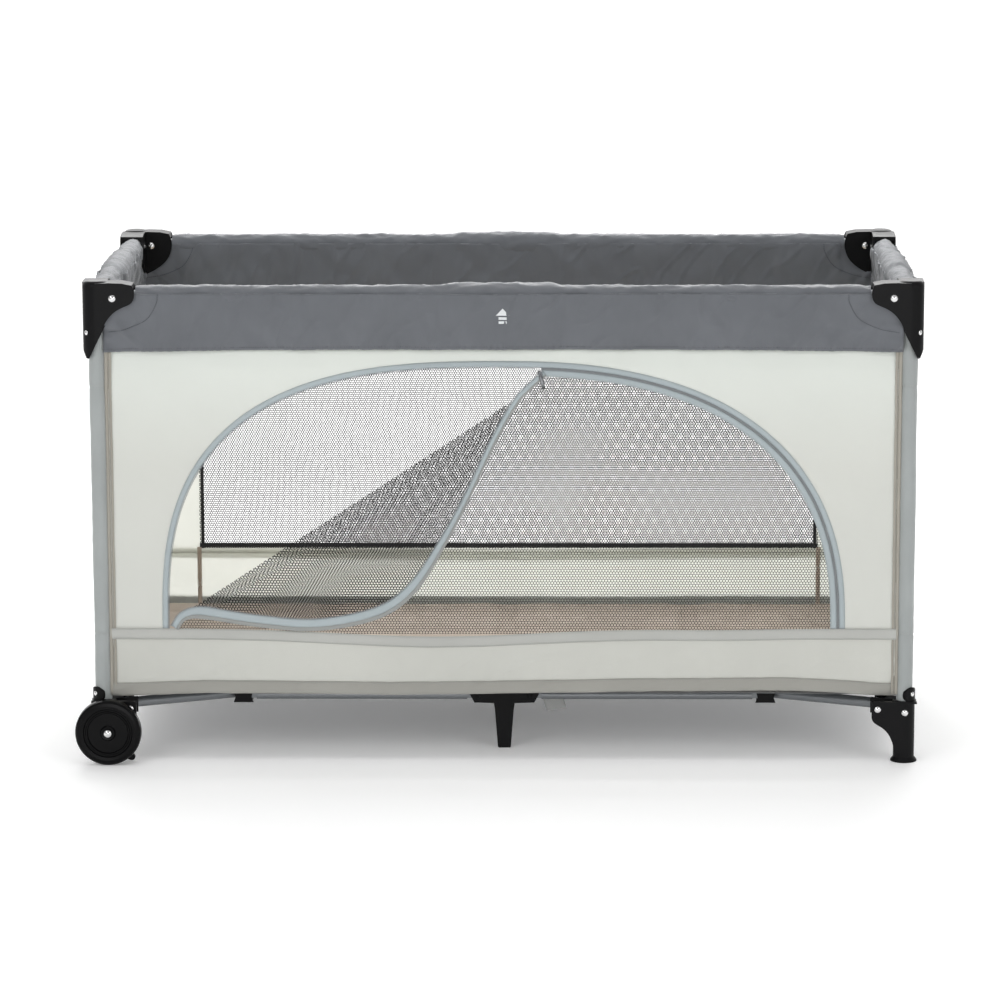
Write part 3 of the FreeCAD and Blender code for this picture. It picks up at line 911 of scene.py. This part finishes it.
def back_window():
    def place(s, z):
        return on_wall("back", s, z, -0.0008)

    net = cut_sheet("window_netting", rectangle(-0.510, 0.510, 0.204, 0.605), [], 0.012, place,
                    NET_BACK)
    ride_side(net, "back")

    def on_face(out):
        def at(s, z, rise):
            shift = 0.0009 + rise
            return on_wall("back", s, z, shift if out else -shift - 0.0008)
        return at

    right, low, high = WINDOW_S, WINDOW_LOW, WINDOW_HIGH
    far, under, over = right + 0.005, low - 0.005, high + 0.005
    edges = {"low": ((-far, low), (far, low)), "high": ((far, high), (-far, high)),
             "right": ((right, under), (right, over)), "left": ((-right, over), (-right, under))}
    for word, out in (("outer", True), ("inner", False)):
        for edge, (a, b) in edges.items():
            wide = 0.0034 if edge == "low" else 0.0024
            path = even([Vector(a), Vector(b)], 0.010)
            ribbon("back", f"window_binding_{word}_{edge}", path, lambda t: -wide, lambda t: wide,
                   on_face(out), HEM_BLACK)
    for end in (-1, 1):
        line = [Vector((end * 0.511, 0.106 + 0.005 * k)) for k in range(21)]
        ribbon("back", "corner_tape_" + ("left" if end < 0 else "right"), line, lambda t: -0.0035,
               lambda t: 0.0035, on_face(False), MATTRESS)


back_window()


# ---- the zipped door

FREE_EDGE = [(0.062, 0.594), (0.040, 0.574), (0.020, 0.552), (-0.014, 0.493), (-0.054, 0.407),
             (-0.094, 0.332), (-0.137, 0.267), (-0.190, 0.229), (-0.280, 0.211), (-0.370, 0.217),
             (-0.450, 0.229), (-0.482, 0.224), (-0.496, 0.206)]
FOLD_TOP = Vector((0.022, 0.557))
FOLD_LOW = Vector((-0.468, 0.236))


def door_n(s, z):
    return wall_n("front", s, z, SEED["front"] + 70) - 0.0018


def fold_distance(s, z):
    """Distance below the straight fold line."""
    d = (FOLD_TOP - FOLD_LOW).normalized()
    v = Vector((s, z)) - FOLD_LOW
    return d.x * v.y - d.y * v.x


def door():
    free = curve_points(FREE_EDGE, 10)
    right = arch_line(0.5, 1.0, 200)
    right = [p for p in right if p.x > 0.06]
    right = even(right, 0.009)

    def place_main(s, z):
        hang = -0.0016 * soft_noise(s * 6, z * 5, 4) - 0.004 * smooth(0.10, 0.0, -fold_distance(s, z))
        return on_side("front", s, door_n(s, z) + hang, z)

    low = [(0.508, 0.196), (-0.492, 0.196), (-0.486, 0.222)]
    ring = [tuple(p) for p in right] + low + [tuple(FOLD_LOW), tuple(FOLD_TOP), (0.052, 0.590)]
    main = cut_sheet("door_netting", ring, [], 0.011, place_main, NET)
    ride_side(main, "front")

    # the turned back part lies in front, from the fold to its own zip edge
    edge_part = [p for p in free if p.y < 0.560]
    keep = [p for p in edge_part if p.x > -0.470]
    ring = [tuple(FOLD_LOW), tuple(FOLD_TOP)] + [tuple(p) for p in even(keep, 0.009)]

    def turned_n(s, z):
        d = max(-fold_distance(s, z), 0.0)
        puff = 0.010 * smooth(0.0, 0.03, d) * math.exp(-d / 0.16)
        return door_n(s, z) + 0.0012 + puff + 0.0018 * soft_noise(s * 9, z * 9, 8)

    flap = cut_sheet("door_netting_turned", ring, [], 0.010,
                     lambda s, z: on_side("front", s, turned_n(s, z), z), NET)
    ride_side(flap, "front")

    def on_flap(s, z, rise):
        return on_side("front", s, max(turned_n(s, z), door_n(s, z) + 0.004) + 0.0012 + rise, z)

    line = even(free, 0.006)

    def width(t):
        return 0.0045 + 0.0045 * smooth(0.25, 0.62, t) - 0.003 * smooth(0.93, 1.0, t)

    tape = ribbon("front", "flap_tape", line, lambda t: -width(t), lambda t: width(t) * 0.35, on_flap,
                  TAPE, 0.0009)
    ribbon("front", "flap_edge", line, lambda t: width(t) * 0.35, width, on_flap, TAPE_GREY, 0.0012)

    def on_front(s, z, rise):
        return on_wall("front", s, z, 0.0009 + rise)

    full = even(arch_line(0.0, 1.0, 600), 0.006)
    ribbon("front", "door_tape_outer", full, lambda t: 0.0, lambda t: 0.0085, on_front, TAPE, 0.0009)
    closed_side = [p for p in full if p.x > 0.056]
    ribbon("front", "door_tape_inner", closed_side, lambda t: -0.0135, lambda t: -0.0040, on_front,
           TAPE, 0.0009)
    ribbon("front", "door_zip_gap", closed_side, lambda t: -0.0040, lambda t: -0.0002, on_front,
           TAPE_GREY, 0.0006, crown=0.0)
    zip_teeth("zip_teeth_closed", closed_side, -0.0020, on_front, 0.0021)
    open_side = [p for p in full if p.x <= 0.050]
    zip_teeth("zip_teeth_wall", open_side, -0.0012, on_front, 0.0011)
    zip_teeth("zip_teeth_flap", line, -0.0010, lambda s, z, rise: on_flap(s, z, rise + 0.0006), 0.0011,
              shift=width)
    for word, path, side_shift in (("outer", full, 0.0068), ("inner", closed_side, -0.0118)):
        beside = [p + across_line(path, i) * side_shift for i, p in enumerate(path)]
        pts = [on_front(q.x, q.y, 0.0007) for q in beside]
        ride_side(stitches("zip_stitch_" + word, pts, lambda p: (0, -1, 0), THREAD_LIGHT,
                           width=0.0003), "front")


def zip_teeth(name, path, offset, place, half_width, shift=None):
    """Coil teeth of a zip, one small rounded block every 1.7 mm."""
    pts = even(path, 0.0017)
    verts, faces = [], []
    count = len(pts)
    for i, p in enumerate(pts):
        across = across_line(pts, i)
        along = Vector((across.y, -across.x))
        w = offset if shift is None else -shift(i / (count - 1)) + offset
        n = len(verts)
        for du, dw, rise in ((-1, -1, 0), (1, -1, 0), (1, 1, 0), (-1, 1, 0),
                             (-0.6, -0.7, 1), (0.6, -0.7, 1), (0.6, 0.7, 1), (-0.6, 0.7, 1)):
            q = p + along * (0.00055 * du) + across * (w + half_width * dw)
            verts.append(place(q.x, q.y, 0.0006 + 0.0009 * rise))
        faces += [(n, n + 1, n + 5, n + 4), (n + 1, n + 2, n + 6, n + 5), (n + 2, n + 3, n + 7, n + 6),
                  (n + 3, n, n + 4, n + 7), (n + 4, n + 5, n + 6, n + 7)]
    obj = make_object(name, verts, faces, TEETH)
    ride_side(obj, "front")


door()


def solid_box(name, centre, size, material, bevel, turn=None):
    """Small block with rounded edges, turned about its own middle."""
    bm = bmesh.new()
    bmesh.ops.create_cube(bm, size=1.0)
    for v in bm.verts:
        v.co = Vector((v.co.x * size[0], v.co.y * size[1], v.co.z * size[2]))
    bmesh.ops.bevel(bm, geom=list(bm.edges), offset=bevel, segments=2, affect="EDGES")
    if turn is not None:
        bmesh.ops.transform(bm, matrix=turn, verts=bm.verts)
    for v in bm.verts:
        v.co += Vector(centre)
    mesh = bpy.data.meshes.new(name)
    bm.to_mesh(mesh)
    bm.free()
    mesh.materials.append(material)
    for p in mesh.polygons:
        p.use_smooth = True
    obj = bpy.data.objects.new(name, mesh)
    scene.collection.objects.link(obj)
    return obj


def slider():
    tilt = Matrix.Rotation(math.radians(38), 4, "Y")
    at = on_side("front", 0.056, WALL_N + 0.0030, 0.5945)
    obj = solid_box("zip_slider", at, (0.0095, 0.0034, 0.0058), SLIDER, 0.0012, tilt)
    ride_side(obj, "front")
    at = on_side("front", 0.0585, WALL_N + 0.0052, 0.5815)
    tilt = Matrix.Rotation(math.radians(-14), 4, "Y") @ Matrix.Rotation(math.radians(7), 4, "X")
    pull = solid_box("zip_pull", at, (0.0052, 0.0012, 0.0230), SLIDER, 0.0005, tilt)
    ride_side(pull, "front")
    bridge = solid_box("zip_bridge", on_side("front", 0.0572, WALL_N + 0.0052, 0.5935),
                       (0.0022, 0.0022, 0.0050), SLIDER, 0.0004)
    ride_side(bridge, "front")


slider()


def arrow_mark():
    """Plain pale arrow printed on the band: a triangle above two bars."""
    def flat(name, shape):
        verts = []
        for s, z in shape:
            low, top = band_low("front", s), RAIL_Z + 0.0065
            t = (z - top) / (low - top)
            n = band_surface("front", s, t, SEED["front"] + 1, True)[1]
            verts.append(on_side("front", s, n + 0.0016, z))
        obj = make_object(name, verts, [tuple(range(len(verts)))], PRINT)
        ride_side(obj, "front")

    flat("arrow_head", [(-0.0100, 0.6835), (-0.005, 0.6835), (0.005, 0.6835), (0.0100, 0.6835),
                        (0.005, 0.6890), (0.0, 0.6945), (-0.005, 0.6890)])
    flat("arrow_bar_high", [(-0.006, 0.6770), (0.006, 0.6770), (0.006, 0.6812), (-0.006, 0.6812)])
    flat("arrow_bar_low", [(-0.006, 0.6708), (0.006, 0.6708), (0.006, 0.6748), (-0.006, 0.6748)])


arrow_mark()


# ---- mattress, base cloth, strap

def apply_modifiers(obj):
    dg = bpy.context.evaluated_depsgraph_get()
    mesh = bpy.data.meshes.new_from_object(obj.evaluated_get(dg))
    obj.modifiers.clear()
    obj.data = mesh


def padded_block(name, low, high, material, round_r, swell):
    """A flat cushion blown up by a short cloth simulation, with its seams pulled in after."""
    low, high = Vector(low), Vector(high)
    size = high - low
    bm = bmesh.new()
    bmesh.ops.create_cube(bm, size=1.0)
    inset = 0.0028
    for v in bm.verts:
        v.co = (low + high) / 2 + Vector((v.co.x * (size.x - 2 * inset), v.co.y * (size.y - 2 * inset),
                                          v.co.z * (size.z - 2 * inset)))
    bmesh.ops.bevel(bm, geom=list(bm.edges), offset=round_r, segments=3, affect="EDGES")
    mesh = bpy.data.meshes.new(name)
    bm.to_mesh(mesh)
    bm.free()
    obj = bpy.data.objects.new(name, mesh)
    scene.collection.objects.link(obj)
    remesh = obj.modifiers.new("remesh", "REMESH")
    remesh.mode = "VOXEL"
    remesh.voxel_size = 0.0062
    apply_modifiers(obj)
    rest = [v.co.copy() for v in obj.data.vertices]
    sim = obj.modifiers.new("cloth", "CLOTH")
    sim.settings.use_pressure = True
    sim.settings.uniform_pressure_force = 3.0
    sim.settings.effector_weights.gravity = 0
    sim.settings.quality = 4
    sim.point_cache.frame_start = 1
    sim.point_cache.frame_end = 14
    for f in range(1, 15):
        scene.frame_set(f)
        bpy.context.view_layer.update()
    apply_modifiers(obj)
    scene.frame_set(1)
    for v, r in zip(obj.data.vertices, rest):
        move = v.co - r
        if move.length > swell:
            move *= swell / move.length
        v.co = r + move
    obj.data.materials.clear()
    obj.data.materials.append(material)
    for p in obj.data.polygons:
        p.use_smooth = True
    return obj


def mattress():
    low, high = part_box("mattress")
    quarter = (high.x - low.x) / 4
    first = None
    for k in range(4):
        a = Vector((low.x + quarter * k - 0.0024, low.y, low.z))
        b = Vector((low.x + quarter * (k + 1) + 0.0024, high.y, high.z))
        obj = padded_block(f"mattress_panel_{k + 1}", a, b, MATTRESS, 0.006, 0.004)
        mid = (a + b) / 2
        for v in obj.data.vertices:
            c = v.co
            for line in (-0.19, -0.06, 0.07, 0.20):
                pull = math.exp(-((c.y - line) / 0.006) ** 2) * 0.0022
                c.z -= pull * (1 if c.z > mid.z else 0)
            c.z = min(max(c.z, low.z), high.z + 0.002)
            c.z += 0.0006 * soft_noise(c.x * 30, c.y * 30, k) * (1 if c.z > mid.z else 0)
        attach(obj, "mattress")
        first = first or obj
    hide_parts("mattress")

    def at(i, j):
        x = low.x + 0.006 + (high.x - low.x - 0.012) * i
        y = low.y + 0.006 + (high.y - low.y - 0.012) * j
        return Vector((x, y, high.z - 0.0042 + 0.0005 * soft_noise(x * 20, y * 20, 9)))

    core = grid("mattress_core", 90, 50, at, MATTRESS, 0.0015)
    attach(core, "mattress")


mattress()


def base_cloth(end, sign):
    def at(i, j):
        s = 0.0008 + (0.598 - 0.0008) * i
        y = (2 * j - 1) * 0.287
        sag = 0.0016 * soft_noise(s * 9, y * 9, 60 + sign)
        return Vector((MID + sign * s, y, 0.0995 + min(sag, 0.001)))

    obj = grid("base_cloth_" + end, 70, 66, at, FLOOR_CLOTH, 0.0012)
    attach(obj, "floor_" + end)
    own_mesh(obj)
    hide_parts("floor_" + end)


base_cloth("left", -1)
base_cloth("right", 1)


def strap():
    """Doubled tab of webbing that hangs under the base cloth beside the middle leg."""
    control = [(0.072, 0.0985, -0.2235), (0.073, 0.0860, -0.2258), (0.076, 0.0720, -0.2268),
               (0.079, 0.0630, -0.2262), (0.0795, 0.0600, -0.2240), (0.079, 0.0630, -0.2215),
               (0.076, 0.0720, -0.2205), (0.073, 0.0860, -0.2200), (0.072, 0.0985, -0.2190)]
    path = curve_points(control, 6)
    verts, faces = [], []
    for p in path:
        for k in range(7):
            across = (k / 6 - 0.5) * 0.030
            lift = 0.16 * across * smooth(0.098, 0.066, p.y)
            verts.append(Vector((MID + p.x + across, p.z + 0.0006 * math.sin(k * 1.7), p.y + lift)))
    for i in range(len(path) - 1):
        for k in range(6):
            a = i * 7 + k
            faces.append((a, a + 1, a + 8, a + 7))
    obj = make_object("base_strap", verts, faces, WEB, 0.0013)
    ride_side(obj, "front")


strap()


# ---- stage, light, camera

def stage():
    """White sweep: a floor that curves up into a glowing wall; from 0.3 m to 1.3 m in Y the floor is
    painted from near white down to grey, painted shade behind the playpen.
    """
    bend_y, bend_r, wall_top = 2.0, 1.5, 7.0
    profile = [(-30.0, 0.0), (-6.0, 0.0), (-1.5, 0.0), (0.0, 0.0), (1.2, 0.0), (bend_y, 0.0)]
    for k in range(1, 13):
        a = math.radians(7.5 * k)
        profile.append((bend_y + bend_r * math.sin(a), bend_r - bend_r * math.cos(a)))
    profile.append((bend_y + bend_r, wall_top))
    verts, faces = [], []
    for y, z in profile:
        verts += [(-14, y, z), (14, y, z)]
    for k in range(len(profile) - 1):
        a = 2 * k
        faces.append((a, a + 1, a + 3, a + 2))
    mesh = bpy.data.meshes.new("ground")
    mesh.from_pydata(verts, [], faces)
    for p in mesh.polygons:
        p.use_smooth = True
    ground = bpy.data.objects.new("ground", mesh)
    scene.collection.objects.link(ground)
    m, nt, shader = new_material("ground")
    split = position(nt)[1]
    # Painted shade: the floor colour goes from near white to grey between 0.3 m and 1.3 m in Y, behind
    # the playpen.
    painted_shade_behind = ramp(nt, split.outputs["Y"], 0.3, 1.3)
    shade = mix_colour(nt, painted_shade_behind, (0.95, 0.95, 0.95), (0.69, 0.69, 0.69))
    nt.links.new(shade, shader.inputs["Base Color"])
    settings(shader, Roughness=0.8, Specular_IOR_Level=0.1, Emission_Color=(1, 1, 1, 1))
    # A faint glow of 0.13 over the whole sweep lightens the floor and the shadow under the playpen; the
    # far wall glows as the backdrop.
    far = ramp(nt, split.outputs["Y"], 2.2, 3.5)
    glow = math_node(nt, "ADD", 0.13, math_node(nt, "MULTIPLY", far, 0.42))
    nt.links.new(glow, shader.inputs["Emission Strength"])
    mesh.materials.append(m)


def lamp(name, location, target, size, power, size_y=None):
    data = bpy.data.lights.new(name, "AREA")
    data.shape = "RECTANGLE"
    data.size = size
    data.size_y = size_y or size
    data.energy = power
    obj = bpy.data.objects.new(name, data)
    scene.collection.objects.link(obj)
    obj.location = location
    obj.rotation_mode = "QUATERNION"
    obj.rotation_quaternion = (Vector(target) - Vector(location)).to_track_quat("-Z", "Y")


def camera():
    data = bpy.data.cameras.new("camera")
    data.sensor_width = 36.0
    data.lens = 153.0
    data.clip_start, data.clip_end = 0.1, 200.0
    cam = bpy.data.objects.new("camera", data)
    scene.collection.objects.link(cam)
    cam.location = (0.098, -6.574, 1.588)
    yaw, pitch, roll = math.radians(0.848), math.radians(10.72), math.radians(-0.13)
    cam.rotation_mode = "XYZ"
    tilt = Matrix.Rotation(math.pi / 2 - pitch, 4, "X")
    turn = Matrix.Rotation(yaw, 4, "Z") @ tilt @ Matrix.Rotation(roll, 4, "Z")
    cam.rotation_euler = turn.to_euler()
    scene.camera = cam


stage()
world = bpy.data.worlds.new("studio")
scene.world = world
world.use_nodes = True
settings(world.node_tree.nodes["Background"], Color=(1, 1, 1, 1), Strength=0.41)
lamp("top", (0.0, 0.3, 3.4), (0, 0.1, 0.2), 3.0, 40)
lamp("rear", (0.0, 2.3, 2.0), (0, 0, 0.2), 3.2, 68, 1.0)
lamp("key", (-2.4, -3.6, 2.6), (0, 0, 0.4), 2.2, 42)
lamp("fill", (2.8, -3.2, 1.8), (0, 0, 0.4), 2.2, 28)
lamp("low", (0.0, -4.2, 0.5), (0, 0, 0.2), 2.6, 22, 0.7)
camera()
scene.view_settings.view_transform = "Standard"
scene.view_settings.look = "None"
